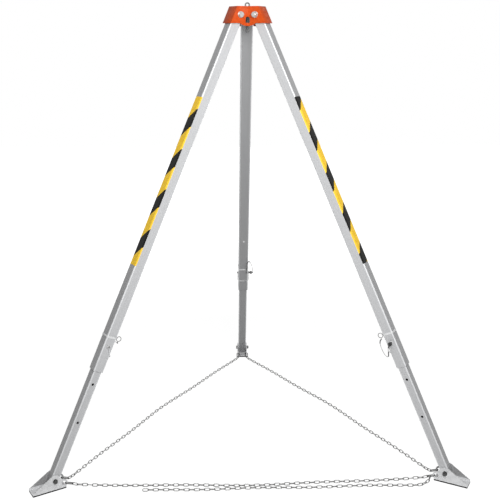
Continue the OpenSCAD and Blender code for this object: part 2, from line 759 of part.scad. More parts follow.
at_axis() head_casting();
at_axis() anchor_eye_bolt();
at_axis() top_eye_nut();
at_axis() leg_pivot_bolts();
at_axis() leg_pivot_nuts();
for (run = RUNS) at_axis() rotate([0, 0, run[1] + 60]) chain_run();
at_axis() rotate([0, 0, RUNS[1][1] + 60]) chain_tail();
for (leg = LEGS) for (piece = LEG_PIECES) at_axis() {
    at_leg(leg[1]) leg_piece(piece, leg[1], leg[2]);
    at_foot(leg[1]) foot_piece(piece);
}
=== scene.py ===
# %% [markdown]
# # A rescue tripod
# The real object stands over a manhole: a red cast head, three telescoping aluminium legs with striped
# tape, hinged feet with rubber soles, and a steel chain that keeps the feet from sliding apart.
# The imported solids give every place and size. This script dresses them, piece by piece.

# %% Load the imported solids
import json
import math

import bmesh
import bpy
import numpy as np
from mathutils import Matrix, Vector


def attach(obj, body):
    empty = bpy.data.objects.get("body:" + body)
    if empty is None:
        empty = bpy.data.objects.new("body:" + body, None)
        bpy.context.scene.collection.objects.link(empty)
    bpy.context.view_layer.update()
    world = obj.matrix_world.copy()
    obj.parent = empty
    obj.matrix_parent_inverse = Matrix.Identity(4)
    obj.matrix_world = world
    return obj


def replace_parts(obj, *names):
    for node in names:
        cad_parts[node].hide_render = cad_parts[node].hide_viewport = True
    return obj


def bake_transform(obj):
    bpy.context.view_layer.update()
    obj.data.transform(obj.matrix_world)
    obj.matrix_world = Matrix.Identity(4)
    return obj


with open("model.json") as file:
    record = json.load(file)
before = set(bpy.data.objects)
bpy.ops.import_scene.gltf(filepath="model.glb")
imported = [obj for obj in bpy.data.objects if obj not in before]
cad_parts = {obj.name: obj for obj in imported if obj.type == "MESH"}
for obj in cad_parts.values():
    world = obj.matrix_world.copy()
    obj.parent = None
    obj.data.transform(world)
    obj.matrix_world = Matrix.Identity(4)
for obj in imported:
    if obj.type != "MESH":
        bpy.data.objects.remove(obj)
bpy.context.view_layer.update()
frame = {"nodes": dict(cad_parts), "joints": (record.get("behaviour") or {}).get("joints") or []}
joints = {j["name"]: j for j in frame["joints"]}
nodes = frame["nodes"]
scene = bpy.context.scene
LEGS = ("rear", "left", "right")

# %% [markdown]
# ## The camera
# The photograph was taken from about four metres, a little above head height, looking slightly down.
# The place and the lens come from fitting a pinhole camera to the legs, holes and feet, so no
# adjusting by eye is needed. The 36 mm sensor stands for the 500 pixels of the picture.

# %% Camera
PIVOT_OUT = 0.064  # from the tripod's axis to a leg's pivot
SENSOR_MM, LENS_MM = 36.0, 57.03
EYE_X, EYE_BACK, EYE_Z = -0.1419, 4.0565, 2.1242
PITCH, YAW = math.radians(75.188), math.radians(-2.188)
AXIS_Y = joints["rear_fold"]["pos_m"][1] - PIVOT_OUT
camera = bpy.data.cameras.new("photo_camera")
camera.sensor_width = SENSOR_MM
camera.lens = LENS_MM
camera_object = bpy.data.objects.new("photo_camera", camera)
scene.collection.objects.link(camera_object)
camera_object.location = (EYE_X, AXIS_Y - EYE_BACK, EYE_Z)
camera_object.rotation_euler = (PITCH, 0.0, YAW)
scene.camera = camera_object
scene.view_settings.view_transform = "Standard"
print("camera at", tuple(camera_object.location), "lens", camera.lens)

# %% [markdown]
# ## Grids and legs
# Each new piece is a grid of points: rows along the piece, columns round or across it. One helper joins
# neighbouring grid points with four-cornered faces, and another puts the arrays into a mesh.
# A leg has three directions of its own: out of the leg, across it and down it.

# %% Helpers for grids
def unit(v):
    """Each vector of an array divided by its length."""
    return v / np.linalg.norm(v, axis=-1, keepdims=True)


def grid_faces(rows, columns, round_rows=False, round_columns=False):
    """Corner numbers of the quads of a grid: (r, c), (r+1, c), (r+1, c+1), (r, c+1), wrapping if asked."""
    r = np.arange(rows if round_rows else rows - 1)[:, None]
    c = np.arange(columns if round_columns else columns - 1)[None, :]
    r2, c2 = (r + 1) % rows, (c + 1) % columns
    return np.stack([r * columns + c, r2 * columns + c, r2 * columns + c2, r * columns + c2], -1).reshape(-1, 4)


def make_piece(name, points, faces, body=None, closed=True):
    """A smooth mesh object at the origin from arrays; a closed one has its faces turned outwards."""
    mesh = bpy.data.meshes.new(name)
    mesh.from_pydata(points.reshape(-1, 3).tolist(), [], [list(f) for f in faces])
    if closed:
        shell = bmesh.new()
        shell.from_mesh(mesh)
        bmesh.ops.recalc_face_normals(shell, faces=shell.faces)
        shell.to_mesh(mesh)
        shell.free()
    mesh.polygons.foreach_set("use_smooth", np.ones(len(mesh.polygons), bool))
    piece = bpy.data.objects.new(name, mesh)
    scene.collection.objects.link(piece)
    if body:
        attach(piece, body)
    return piece


def leg_axes(leg):
    """The head pivot, and rows of unit vectors out of the leg, across it and down it."""
    across = np.array(joints[leg + "_fold"]["axis"])
    down = np.array(joints[leg + "_height"]["axis"])
    return np.array(joints[leg + "_fold"]["pos_m"]), np.stack([np.cross(down, across), across, down])


def on_leg(leg, local):
    """Points given as (out, across, down from the head pivot), in the model's frame."""
    pivot, rows = leg_axes(leg)
    return pivot + np.asarray(local, float) @ rows


print("legs:", {leg: np.round(leg_axes(leg)[1][2], 3).tolist() for leg in LEGS})

# %% [markdown]
# ## The lanyards
# A thin wire rope ties each lock pin to the ring on its strap. On the rear leg it leaves the ring upwards and
# bends over in a stiff loop; on the other two it hangs below the ring. A tube is carried along a smooth curve
# through the route's points: each ring of the tube stands square to the curve. The crimped sleeves are fatter
# tubes on the same curve. A route's points are (out, across, up) in millimetres from the lock pin, and a sleeve
# is given by the two distances along the rope between which it lies; the last one counts back from the pin.

# %% Lanyards with their sleeves
PIN_DOWN, PIN_SIDE = 1.732, -0.060  # the lock pin's place down the leg, and its lanyard stub's place across
LANYARD_D, ROPE_SIDES, ROUTE_STEPS = 0.0025, 10, 12
SLEEVE_R, SLEEVE_SIDES, SLEEVE_RINGS, SLEEVE_TAPER, TAPER_POWER = 0.0026, 12, 13, 0.35, 8
ROPE_LEAN = (1, 0.9, 0.3)  # out, across and down: a direction that no rope takes
ROUTES = {
    "rear": [[-43, -20, 62], [-43, -20, 80], [-43, -21, 100], [-43, -24, 118], [-42, -31, 128],
             [-41, -39, 126], [-39, -45, 114], [-36, -51, 96], [-32, -55, 76], [-27, -58, 56],
             [-21, -60, 36], [-15, -60, 20], [-9, -60, 9], [-4, -60, 2]],
    "left": [[-43, 20, 32.9], [-46, 17, 28], [-50, 10, 25], [-53, 0, 24], [-55, -12, 23], [-56, -24, 22],
             [-56, -34, 18], [-55, -42, 8], [-52, -49, -8], [-48, -55, -26], [-42, -59, -44], [-34, -61, -55],
             [-26, -61.5, -52], [-20, -61, -37], [-15, -60, -20], [-9, -60, -9], [-4, -60, -2]],
    "right": [[-43, -20, 32], [-46, -24, 29], [-50, -31, 25], [-52, -39, 17], [-52, -45, 3], [-50, -51, -14],
              [-46, -56, -32], [-40, -59, -47], [-33, -61, -55], [-26, -61.5, -52], [-20, -61, -37],
              [-15, -60, -20], [-9, -60, -9], [-4, -60, -2]]}
SLEEVES = {"rear": ((0.001, 0.016), (0.050, 0.084)), "left": ((0.001, 0.030), (0.148, 0.176)),
           "right": ((0.001, 0.030), (0.110, 0.138))}
PIN_SLEEVE = np.array([-0.016, -0.001])


def smooth_route(route, steps):
    """Catmull-Rom curve: between points b and c, with neighbours a and d, half of
    2b + (c-a)u + (2a-5b+4c-d)u^2 + (3b-a-3c+d)u^3 for u from 0 to 1."""
    ends = np.vstack([route[:1], route, route[-1:]])
    a, b, c, d = (ends[k:len(ends) - 3 + k, None] for k in range(4))
    u = np.arange(steps)[None, :, None] / steps
    curve = 0.5 * (2 * b + (c - a) * u + (2 * a - 5 * b + 4 * c - d) * u ** 2 + (3 * b - a - 3 * c + d) * u ** 3)
    return np.vstack([curve.reshape(-1, 3), route[-1:]])


def tube(line, radius, sides, lean):
    """Rings round a line: centre + radius (cos v * across + sin v * over), where across is square to the line
    and to lean, a direction that the line never takes, and over is square to both."""
    way = unit(np.gradient(line, axis=0))
    across = unit(np.cross(way, lean))
    over = np.cross(way, across)
    v = np.linspace(0, 2 * np.pi, sides, endpoint=False)[None, :, None]
    spoke = np.cos(v) * across[:, None] + np.sin(v) * over[:, None]
    return line[:, None] + np.reshape(radius, (-1, 1, 1)) * spoke


def capped_tube(name, line, radius, sides, lean):
    """A tube whose first and last rings are closed by a flat face."""
    rings = tube(line, np.broadcast_to(radius, len(line)), sides, lean)
    faces = grid_faces(len(line), sides, round_columns=True).tolist()
    faces += [list(range(sides)), list(range((len(line) - 1) * sides, len(line) * sides))]
    return make_piece(name, rings, faces)


def run_along(line):
    """Distance along a line at each of its points."""
    return np.concatenate([[0.0], np.cumsum(np.linalg.norm(np.diff(line, axis=0), axis=1))])


def part_of_line(line, at, first, last, count):
    """Points evenly spaced along a line between two distances."""
    there = np.linspace(first, last, count)
    return np.stack([np.interp(there, at, line[:, k]) for k in range(3)], -1)


lanyards, sleeves = {}, []
fat = SLEEVE_R * (1 - SLEEVE_TAPER * np.abs(np.linspace(-1, 1, SLEEVE_RINGS)) ** TAPER_POWER)
for leg in LEGS:
    line = smooth_route(np.array(ROUTES[leg]) / 1000.0, ROUTE_STEPS)
    line = on_leg(leg, line * [1, 1, -1] + [0, 0, PIN_DOWN])
    lean = np.array(ROPE_LEAN) @ leg_axes(leg)[1]
    at = run_along(line)
    rope = capped_tube(f"{leg}_lanyard_rope", line, LANYARD_D / 2, ROPE_SIDES, lean)
    lanyards[leg] = rope
    on_rope = []
    spans = (*SLEEVES[leg], at[-1] + PIN_SLEEVE)
    for part, body, (first, last) in zip(("ring", "bend", "pin"), ("leg", "leg", "pin"), spans):
        sleeve_line = part_of_line(line, at, first, last, SLEEVE_RINGS)
        sleeve = capped_tube(f"{leg}_lanyard_sleeve_{part}", sleeve_line, fat, SLEEVE_SIDES, lean)
        on_rope.append(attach(sleeve, f"{leg}_{body}"))
    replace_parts(rope, f"{leg}_lanyard")
    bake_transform(rope)
    sleeves += on_rope
    print(leg, "lanyard", round(float(at[-1]), 4), "m")

# %% [markdown]
# ## The chain
# Three runs of chain go from heel to heel, and a loose tail lies along the front. Every link is an oval ring
# of wire, so all links of a run are one array: a small grid for one link, stretched to the distance between
# its two joints and turned to its direction and roll. Where the legs fold, a chain can't stay rigid, so
# each run is cut into three separate meshes: from the foot to the tube, to the leg and to the floor.

# %% Chain links
# A link: its wire, the opening inside it, its play at a joint, and the distance between joints
LINK_D, LINK_IN, LINK_PLAY, LINK_STEP = 0.004, 0.008, 0.0005, 0.025
LINK_TURNS, LINK_SIDES = 10, 5
# Links that tip over from a hook, links of the tail that turn, and the height that all keep above the floor
ROLL_LINKS, TURN_LINKS, FLOOR_GAP = 4, 4, 0.0003
# How far a run bows off its straight line, how far it waves about that, and in how many half waves
RUN_BOW, RUN_WAVE, HALF_WAVES = 0.034, 0.006, 5
# The tail: its links, where its first joint sits on the heel link, the rise of its second joint, and its sway
TAIL_LINKS, TAIL_HOOK, TAIL_SIDE, TAIL_LIFT, TAIL_RISE = 58, 0.031, 0.00415, 0.0005, 0.003
TAIL_SWAY, SWAY_LINKS = 0.0035, 21
# Links from a foot at which a run is cut
FOOT_CUT, TUBE_CUT = 6, 21
# The ear of a foot: behind the ankle, beside the leg's middle and above the floor, and the radius of its hole;
# then the heel link in that hole: its gap, length, play at the hook and tilt
EAR_BACK, EAR_SIDE, EAR_UP, EAR_HOLE = 0.042, 0.0292, 0.031, 0.011
HEEL_GAP, HEEL_LINK, HEEL_PLAY, HEEL_TILT = 0.0004, 0.036, 0.00085, math.radians(22)
SIN60, COS60 = math.sin(math.pi / 3), 0.5
ankle = joints["right_foot_tilt"]["pos_m"]
EAR = np.array([math.hypot(ankle[0], ankle[1] - AXIS_Y) - EAR_BACK, EAR_SIDE, EAR_UP])
HEEL_HOOK = EAR_HOLE - HEEL_GAP + HEEL_LINK - HEEL_PLAY
HOOK_OUT = EAR[0] - HEEL_HOOK * math.cos(HEEL_TILT)
HOOK = np.array([HOOK_OUT * COS60 + EAR[1] * SIN60, HOOK_OUT * SIN60 - EAR[1] * COS60,
                 EAR[2] - HEEL_HOOK * math.sin(HEEL_TILT)])
RUN_LINKS = 2 * math.ceil((2 * HOOK[1] / LINK_STEP - 1) / 2) + 1


def need(roll):
    """Height of a link's middle above the floor: half the wire plus half the link times |sin roll|."""
    return LINK_D / 2 + (LINK_IN + LINK_D) / 2 * np.abs(np.sin(roll))


def rolls_for(edge):
    """Links stand and lie in turn near a hook, and tip over to 45 degrees along the floor."""
    stand = np.where(np.arange(len(edge)) % 2 == 0, 90.0, 0.0)
    return np.radians(stand - 45 * np.minimum(1, edge / ROLL_LINKS))


def floor_heights(rolls, first, last):
    """Joint heights: the taller need of the two links that meet there, with the ends hooked higher up."""
    high = need(rolls)
    inner = FLOOR_GAP + np.maximum(high[:-1], high[1:])
    return np.concatenate([[first], inner, [FLOOR_GAP + high[-1] if last is None else last]])


def run_joints():
    """x = hook + bow sin(pi q) + wave sin(pi q) sin(5 pi q), y evenly from foot to foot, z by the rolls."""
    i = np.arange(RUN_LINKS)
    rolls = rolls_for(np.minimum(i, RUN_LINKS - 1 - i))
    q = np.arange(RUN_LINKS + 1) / RUN_LINKS
    swell = np.sin(np.pi * q)
    x = HOOK[0] + RUN_BOW * swell + RUN_WAVE * swell * np.sin(HALF_WAVES * np.pi * q)
    return np.stack([x, HOOK[1] * (2 * q - 1), floor_heights(rolls, HOOK[2], HOOK[2])], -1), rolls


def tail_joints(count):
    """Steps of one link; the first few turn by 60 degrees, from along the heel to along the run, and the rest
    sway by sway (cos(2 pi k / links) - 1)."""
    i = np.arange(1, count + 1)
    turn = np.radians(60 * np.maximum(0, 1 - (i - 1) / TURN_LINKS))
    start = HOOK[:2] + (HEEL_HOOK - TAIL_HOOK) * math.cos(HEEL_TILT) * np.array([COS60, SIN60])
    start = start + TAIL_SIDE * np.array([SIN60, -COS60])
    steps = LINK_STEP * np.stack([np.sin(turn), -np.cos(turn)], -1)
    flat = np.vstack([start, start + np.cumsum(steps, 0)])
    k = np.arange(count + 1) - TURN_LINKS
    flat[:, 0] += np.where(k > 0, TAIL_SWAY * (np.cos(2 * np.pi * k / SWAY_LINKS) - 1), 0.0)
    rolls = rolls_for(np.arange(count))
    z = floor_heights(rolls, EAR[2] + TAIL_LIFT - TAIL_HOOK * math.sin(HEEL_TILT), None)
    z[1] += TAIL_RISE
    return np.column_stack([flat, z]), rolls


def turned(points, degrees):
    """Points turned about the vertical through the tripod's axis and moved to it."""
    a = math.radians(degrees)
    turn = np.array([[math.cos(a), math.sin(a), 0], [-math.sin(a), math.cos(a), 0], [0, 0, 1]])
    return points @ turn + [0, AXIS_Y, 0]


def link_points(joint, rolls, turns, sides):
    """An oval of wire per link: end arcs of angle u about (+-half, 0), wire angle v, turned to its joints."""
    p, q = joint[:-1], joint[1:]
    span = np.linalg.norm(q - p, axis=1)
    half = (span + LINK_PLAY) / 2 - LINK_IN / 2
    u = np.concatenate([np.linspace(-90, 90, turns // 2), np.linspace(90, 270, turns // 2)]) * np.pi / 180
    side = np.where(np.arange(turns) < turns // 2, 1.0, -1.0)
    v = np.linspace(0, 2 * np.pi, sides, endpoint=False)
    bend = (LINK_IN + LINK_D) / 2 + LINK_D / 2 * np.cos(v)
    x = half[:, None, None] * side[None, :, None] + (np.cos(u)[:, None] * bend)[None]
    y = np.broadcast_to((np.sin(u)[:, None] * bend)[None], x.shape)
    z = np.broadcast_to(LINK_D / 2 * np.sin(v)[None, None], x.shape)
    ex = unit(q - p)
    ey = unit(np.stack([-ex[:, 1], ex[:, 0], 0 * ex[:, 0]], -1))
    ez = np.cross(ex, ey)
    c, s = np.cos(rolls)[:, None], np.sin(rolls)[:, None]
    rows = np.stack([ex, c * ey + s * ez, c * ez - s * ey], 1)
    return np.einsum("lmkc,lcd->lmkd", np.stack([x, y, z], -1), rows) + ((p + q) / 2)[:, None, None]


def chain_piece(name, joint, rolls, node):
    """One mesh of separate links between these joints."""
    points = link_points(joint, rolls, LINK_TURNS, LINK_SIDES)
    one = grid_faces(LINK_TURNS, LINK_SIDES, round_rows=True, round_columns=True)
    first = np.arange(len(points)) * LINK_TURNS * LINK_SIDES
    faces = (one[None] + first[:, None, None]).reshape(-1, 4)
    piece = make_piece(name, points, faces)
    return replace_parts(piece, node)


def hang_chain(stem, node, joint, rolls, count):
    """Three separate meshes from a foot: foot to tube, tube to leg, and leg to the resting floor."""
    cuts = (0, FOOT_CUT, TUBE_CUT, count)
    made = []
    for k in range(3):
        a, b = cuts[k], cuts[k + 1]
        piece = chain_piece(f"{stem}_{k + 1}", joint[a:b + 1], rolls[a:b], node)
        made.append(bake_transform(piece))
    return made


chains = []
run, run_rolls = run_joints()
middle = (RUN_LINKS + 1) // 2
for node, degrees, first, last in (("chain_left", 150, "rear", "left"), ("chain_front", 270, "left", "right"),
                                   ("chain_right", 30, "right", "rear")):
    there = turned(run, degrees)
    chains += hang_chain(f"{node}_from_{first}", node, there, run_rolls, middle)
    chains += hang_chain(f"{node}_from_{last}", node, there[::-1], -run_rolls[::-1], RUN_LINKS - middle)
tail, tail_rolls = tail_joints(TAIL_LINKS)
chains += hang_chain("chain_tail_from_right", "chain_tail", turned(tail, 270), tail_rolls, TAIL_LINKS)
print("chain pieces:", len(chains), "links a run:", RUN_LINKS)

# %% [markdown]
# ## The hazard tape
# A striped tape runs down the outward face of each outer tube. It is a thin sheet that follows the tube's
# section: flat in the middle and wrapped round most of both corners. The section is one row of points, and
# the tape carries that row down the leg. Its UV map holds metres across and down, for the stripes.

# %% Hazard tape
TUBE_OUT, TUBE_ACROSS, TUBE_CORNER = 0.026, 0.030, 0.007  # half the outer tube's section, and its corners
TAPE_TOP, TAPE_END, TAPE_HALF, TAPE_LIFT = 0.440, 1.318, 0.0325, 0.0002
TAPE_ROWS, TAPE_COLUMNS = 90, 25


def tape_section(half_width, columns):
    """Arc length w across the tube face: flat to the corner's start, then round the corner by w / radius."""
    w = np.linspace(-half_width, half_width, columns)
    flat = TUBE_ACROSS - TUBE_CORNER
    turn = np.clip(np.abs(w) - flat, 0, None) / TUBE_CORNER
    r = TUBE_CORNER + TAPE_LIFT
    across = np.sign(w) * (np.minimum(np.abs(w), flat) + r * np.sin(turn))
    return w, TUBE_OUT - TUBE_CORNER + r * np.cos(turn), across


def put_uv(piece, grid):
    """Writes a value pair per vertex into the UV map, face corner by face corner."""
    mesh = piece.data
    corner = np.zeros(len(mesh.loops), np.int32)
    mesh.loops.foreach_get("vertex_index", corner)
    layer = mesh.uv_layers.new(name="metres")
    layer.data.foreach_set("uv", grid.reshape(-1, 2)[corner].astype(np.float32).ravel())


tapes = {}
w, out, across = tape_section(TAPE_HALF, TAPE_COLUMNS)
s = np.linspace(TAPE_TOP, TAPE_END, TAPE_ROWS)
sheet = np.stack(np.broadcast_arrays(out[None], across[None], s[:, None]), -1)
metres = np.stack(np.broadcast_arrays(w[None], s[:, None]), -1)
faces = grid_faces(TAPE_ROWS, TAPE_COLUMNS)[:, ::-1]
for leg in LEGS:
    tapes[leg] = make_piece(f"{leg}_hazard_tape", on_leg(leg, sheet), faces, f"{leg}_leg",
                            closed=False)
    put_uv(tapes[leg], metres)
print("tape:", round(TAPE_END - TAPE_TOP, 3), "m long,", round(2 * TAPE_HALF, 4), "m wide")

# %% [markdown]
# ## The cast head
# The head is a sand casting: its edges are soft, not sharp. The solid has sharp edges, so a copy of it is made,
# its flat triangles are merged into whole faces, and every outward edge is rounded. Inside edges stay as they
# are, because the tubes move close to them.

# %% Soft-edged copies of solids
MERGE = 1e-5
FLAT, SHARP, SHADE = math.radians(0.5), math.radians(25), math.radians(35)  # joined, rounded, shaded as an edge


def softened(name, node, body, width, segments):
    """Copy of a solid: doubles merged, flat triangles joined, convex edges rounded by an arc of that width."""
    shell = bmesh.new()
    shell.from_mesh(nodes[node].data)
    bmesh.ops.remove_doubles(shell, verts=shell.verts, dist=MERGE)
    bmesh.ops.dissolve_limit(shell, angle_limit=FLAT, verts=shell.verts, edges=shell.edges)
    edges = [e for e in shell.edges if e.is_manifold and e.calc_face_angle_signed() > SHARP]
    bmesh.ops.bevel(shell, geom=edges, offset=width, segments=segments, profile=0.5, affect="EDGES",
                    clamp_overlap=True)
    mesh = bpy.data.meshes.new(name)
    shell.to_mesh(mesh)
    shell.free()
    mesh.polygons.foreach_set("use_smooth", np.ones(len(mesh.polygons), bool))
    mesh.set_sharp_from_angle(angle=SHADE)
    piece = bpy.data.objects.new(name, mesh)
    scene.collection.objects.link(piece)
    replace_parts(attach(piece, body), node)
    print(name, "edges rounded:", len(edges), "faces:", len(mesh.polygons))
    return piece


head = softened("head_soft_casting", "head_casting", "head", width=0.0035, segments=3)

# %% [markdown]
# ## Shared effects for the finishes
# Real metal is never one flat colour. Three effects come back in many finishes, so each is a node group that is
# built once: soft mottling between two colours, fine lines along one direction, and the pimpled skin of cast
# or moulded things. A group only puts out colours and values; each finish keeps its own shader.

# %% Node groups
LINE_SQUEEZE = 0.012  # drawn lines are some eighty times as long as they are wide


def new_group(name, inputs, outputs):
    """An empty node group with named sockets, and its two end nodes."""
    tree = bpy.data.node_groups.new(name, "ShaderNodeTree")
    for title, kind, value in inputs:
        tree.interface.new_socket(title, in_out="INPUT", socket_type=kind).default_value = value
    for title, kind in outputs:
        tree.interface.new_socket(title, in_out="OUTPUT", socket_type=kind)
    return tree, tree.nodes.new("NodeGroupInput"), tree.nodes.new("NodeGroupOutput")


def add(tree, kind, **settings):
    """A node with its settings."""
    node = tree.nodes.new(kind)
    for key, value in settings.items():
        setattr(node, key, value)
    return node


def feed(tree, socket, value):
    """Links a socket to an output, or sets it to a number, a vector or a colour."""
    if isinstance(value, bpy.types.NodeSocket):
        tree.links.new(value, socket)
    elif isinstance(value, tuple) and socket.type == "RGBA":
        socket.default_value = (*value, 1.0)
    else:
        socket.default_value = value


def calc(tree, operation, *values):
    """Result of a one-number operation on sockets or numbers."""
    node = add(tree, "ShaderNodeMath", operation=operation)
    for socket, value in zip(node.inputs, values):
        feed(tree, socket, value)
    return node.outputs[0]


def noise(tree, vector, scale, detail, roughness):
    """A noise texture on the given coordinates."""
    node = add(tree, "ShaderNodeTexNoise")
    values = {"Vector": vector, "Scale": scale, "Detail": detail, "Roughness": roughness}
    for title, value in values.items():
        feed(tree, node.inputs[title], value)
    return node.outputs["Fac"]


def ramp(tree, value, low, high, to_low=0.0, to_high=1.0):
    """Maps low..high to to_low..to_high in a straight line, clamped."""
    node = add(tree, "ShaderNodeMapRange")
    ends = {"From Min": low, "From Max": high, "To Min": to_low, "To Max": to_high}
    for title, end in {"Value": value, **ends}.items():
        feed(tree, node.inputs[title], end)
    return node.outputs["Result"]


def mixed(tree, share, a, b):
    """Colour a turning into colour b by share."""
    node = add(tree, "ShaderNodeMix", data_type="RGBA")
    for socket, value in ((node.inputs[0], share), (node.inputs[6], a), (node.inputs[7], b)):
        feed(tree, socket, value)
    return node.outputs[2]


mottle, ends_in, ends_out = new_group(
    "mottled_finish",
    [("Vector", "NodeSocketVector", (0, 0, 0)), ("Scale", "NodeSocketFloat", 12.0),
     ("Colour", "NodeSocketColor", (0.5, 0.5, 0.5, 1)), ("Spots", "NodeSocketColor", (0.4, 0.4, 0.4, 1)),
     ("Smooth", "NodeSocketFloat", 0.4), ("Rough", "NodeSocketFloat", 0.5)],
    [("Colour", "NodeSocketColor"), ("Roughness", "NodeSocketFloat")])
cloud = noise(mottle, ends_in.outputs["Vector"], ends_in.outputs["Scale"], detail=6.0, roughness=0.6)
spots = ramp(mottle, cloud, low=0.40, high=0.66)
mottle.links.new(mixed(mottle, spots, ends_in.outputs["Colour"], ends_in.outputs["Spots"]),
                 ends_out.inputs["Colour"])
roughness = ramp(mottle, cloud, low=0.3, high=0.7, to_low=ends_in.outputs["Smooth"],
                 to_high=ends_in.outputs["Rough"])
mottle.links.new(roughness, ends_out.inputs["Roughness"])

lines, ends_in, ends_out = new_group(
    "drawn_lines",
    [("Vector", "NodeSocketVector", (0, 0, 0)), ("Fineness", "NodeSocketFloat", 900.0),
     ("Colour", "NodeSocketColor", (0.8, 0.8, 0.8, 1)), ("Line", "NodeSocketColor", (0.6, 0.6, 0.6, 1))],
    [("Colour", "NodeSocketColor"), ("Height", "NodeSocketFloat")])
squeeze = add(lines, "ShaderNodeMapping")
squeeze.inputs["Scale"].default_value = (1.0, 1.0, LINE_SQUEEZE)
lines.links.new(ends_in.outputs["Vector"], squeeze.inputs["Vector"])
streak = noise(lines, squeeze.outputs["Vector"], ends_in.outputs["Fineness"], detail=3.0, roughness=0.5)
lines.links.new(streak, ends_out.inputs["Height"])
streaks = ramp(lines, streak, low=0.45, high=0.75)
lines.links.new(mixed(lines, streaks, ends_in.outputs["Colour"], ends_in.outputs["Line"]),
                ends_out.inputs["Colour"])

skin, ends_in, ends_out = new_group(
    "cast_skin", [("Vector", "NodeSocketVector", (0, 0, 0)), ("Scale", "NodeSocketFloat", 400.0)],
    [("Height", "NodeSocketFloat")])
pimples = noise(skin, ends_in.outputs["Vector"], ends_in.outputs["Scale"], detail=2.0, roughness=0.4)
skin.links.new(pimples, ends_out.inputs["Height"])
print("node groups:", mottle.name, lines.name, skin.name)

# %% [markdown]
# ## The finishes
# Each finish starts from the model's own coordinates, so a pattern stays on its piece. On a leg the
# coordinates are first turned, so that the drawn lines of the aluminium run down the tube. Tubes and feet also
# use the distance from the leg's axis, which tells their outer, inner and side faces apart, for painted shade
# and painted highlights.

# %% Finishes
SPECULAR, SKIN_DEPTH = 0.5, 0.0006
OUT, ACROSS = 0, 1  # rows of a leg's directions
# Plain finishes: a name, the colour and its spots; then the fineness of the mottling, the least and most
# roughness, metallic, the fineness and strength of the skin, and specular
PLAIN = {
    "head": ("head_enamel", (0.64, 0.088, 0.014), (0.55, 0.066, 0.010),
             55.0, 0.36, 0.50, 0.0, 520.0, 0.25, 0.08),
    "zinc": ("zinc_plate", (0.60, 0.60, 0.585), (0.47, 0.47, 0.455),
             90.0, 0.24, 0.40, 0.85, 900.0, 0.05, SPECULAR),
    "chain": ("chain_steel", (0.27, 0.27, 0.266), (0.13, 0.129, 0.127),
              160.0, 0.30, 0.48, 0.75, 1200.0, 0.05, SPECULAR),
    # eye_steel is near black: the dark steel of the rings, bolts and heel links, and on the anchor eye bolt also
    # a painted shade, standing in for the dark slot in the head round its stem.
    "steel": ("eye_steel", (0.085, 0.085, 0.084), (0.05, 0.05, 0.049),
              120.0, 0.32, 0.48, 0.35, 1000.0, 0.05, SPECULAR),
    "bright": ("bright_plate", (0.80, 0.805, 0.81), (0.70, 0.705, 0.71),
               90.0, 0.30, 0.46, 0.10, 900.0, 0.05, SPECULAR),
    "pin": ("pin_black", (0.024, 0.024, 0.026), (0.045, 0.045, 0.046),
            120.0, 0.24, 0.38, 0.0, 900.0, 0.10, SPECULAR),
    "nylon": ("bush_nylon", (0.030, 0.030, 0.030), (0.045, 0.045, 0.044),
              80.0, 0.42, 0.58, 0.0, 800.0, 0.10, 0.3),
    "liner": ("liner_grey", (0.16, 0.16, 0.16), (0.20, 0.20, 0.195),
              80.0, 0.45, 0.60, 0.0, 800.0, 0.10, 0.3),
    "rubber": ("sole_rubber", (0.006, 0.006, 0.006), (0.014, 0.014, 0.013),
               35.0, 0.70, 0.90, 0.0, 650.0, 0.30, 0.12),
    "rope": ("rope_steel", (0.20, 0.20, 0.197), (0.12, 0.12, 0.118),
             700.0, 0.28, 0.45, 0.8, 2500.0, 0.40, SPECULAR),
}
# Drawn tubes: colours, roughness, lines, and the leans in metres between which corners get a painted highlight
# and faces a painted shade
TUBE_COLOUR, TUBE_LINE, TUBE_METALLIC = (0.56, 0.565, 0.575), (0.51, 0.515, 0.525), 0.06
TUBE_CLOUD, TUBE_SMOOTH, TUBE_ROUGH = 9.0, 0.30, 0.44
LINE_FINENESS, LINE_BUMP, LINE_DEPTH = 420.0, 0.12, 0.0003
HIGHLIGHT_START, HIGHLIGHT_FULL, CORNER_PAINTED_HIGHLIGHT = -0.011, -0.007, 1.40
FACE_START, FACE_MIXED, FACE_FULL, FACE_PAINTED_SHADE = -0.003, 0.002, 0.003, 0.64
# Feet: colours, roughness, skin, where the walls inside the channel are, and the share of colour their painted
# shade keeps
FOOT_COLOUR, FOOT_SPOTS, FOOT_METALLIC = (0.80, 0.805, 0.815), (0.69, 0.695, 0.705), 0.08
FOOT_CLOUD, FOOT_SMOOTH, FOOT_ROUGH, FOOT_SKIN, FOOT_BUMP = 40.0, 0.36, 0.52, 700.0, 0.10
WALL_FULL, WALL_END, WALL_FOOT, WALL_RISE, WALL_PAINTED_SHADE = 0.0276, 0.0278, 0.020, 0.002, 0.5
# Tape: colours, roughness, specular and painted glow, where the first black stripe starts, and the stripes'
# length and black share
TAPE_YELLOW, YELLOW_SPOTS = (0.92, 0.60, 0.055), (0.85, 0.54, 0.045)
TAPE_DARK, DARK_SPOTS = (0.009, 0.009, 0.009), (0.015, 0.015, 0.014)
TAPE_CLOUD, TAPE_SMOOTH, TAPE_ROUGH, TAPE_SPECULAR, TAPE_PAINTED_GLOW = 60.0, 0.40, 0.55, 0.06, 0.20
TAPE_FIRST = {"rear": 0.500, "left": 0.530, "right": 0.595}
TAPE_PERIOD = {"rear": 0.211, "left": 0.209, "right": 0.213}
TAPE_BLACK, TAPE_BLUR = 0.455, 0.004


def use_group(tree, group, **values):
    """Places a group and feeds its sockets."""
    node = add(tree, "ShaderNodeGroup", node_tree=group)
    for title, value in values.items():
        feed(tree, node.inputs[title], value)
    return node.outputs


